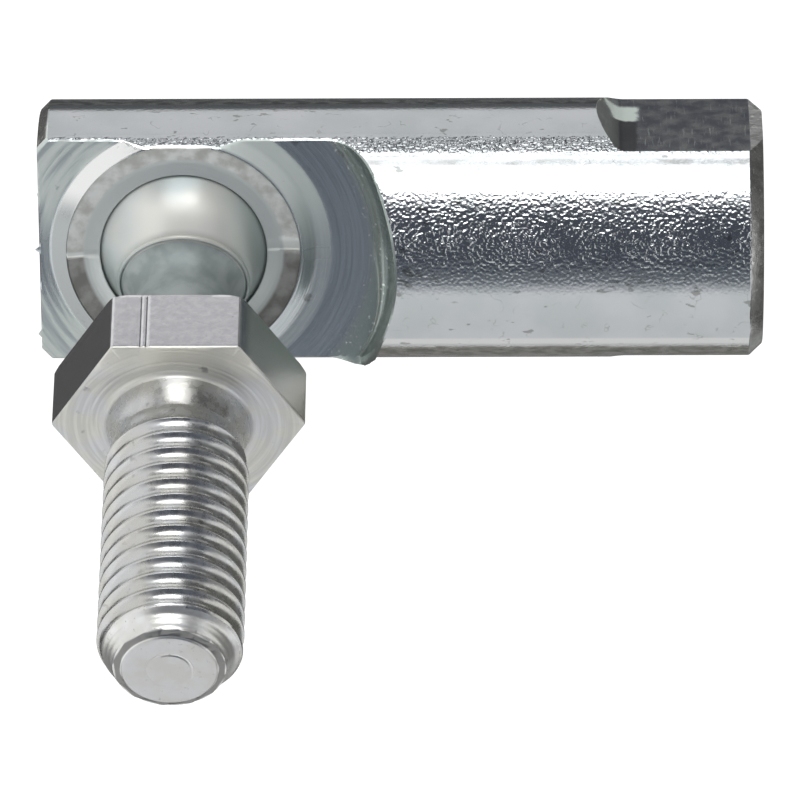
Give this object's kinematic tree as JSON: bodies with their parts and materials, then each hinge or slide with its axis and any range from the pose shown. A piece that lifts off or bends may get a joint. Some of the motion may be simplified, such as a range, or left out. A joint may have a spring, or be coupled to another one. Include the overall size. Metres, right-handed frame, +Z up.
{
  "type": "angle ball joint",
  "caption": "Right-angle ball joint linkage: a round-bar housing with a threaded hole and wrench flats, and a staked socket that holds a threaded ball stud with a hexagon.",
  "frame": {"origin": "centre of the mouth of the housing's threaded hole, on the housing's axis; the ball centre is 25.4 mm back along -X", "axes": "+X along the housing, out of the threaded hole, as the mating rod leaves; -Y out of the ball opening, square to the housing; +Z up, with the stud drooping at its stop, 22.1 degrees below -Y"},
  "size_m": [0.0318, 0.0308, 0.0181],
  "materials": {
    "housing_zinc": "bright zinc plate over drawn and turned steel",
    "stud_zinc": "bright zinc plate over rolled and turned steel"
  },
  "bodies": {
    "housing": {"socket_housing": "housing_zinc"},
    "stud": {"ball_stud": "stud_zinc"}
  },
  "joints": [
    {"name": "stud_tilt", "type": "hinge", "parent": "housing", "child": "stud", "pos_m": [-0.0254, 0, 0], "axis": [-1, 0, 0], "range_deg": [0, 44.2]}
  ]
}
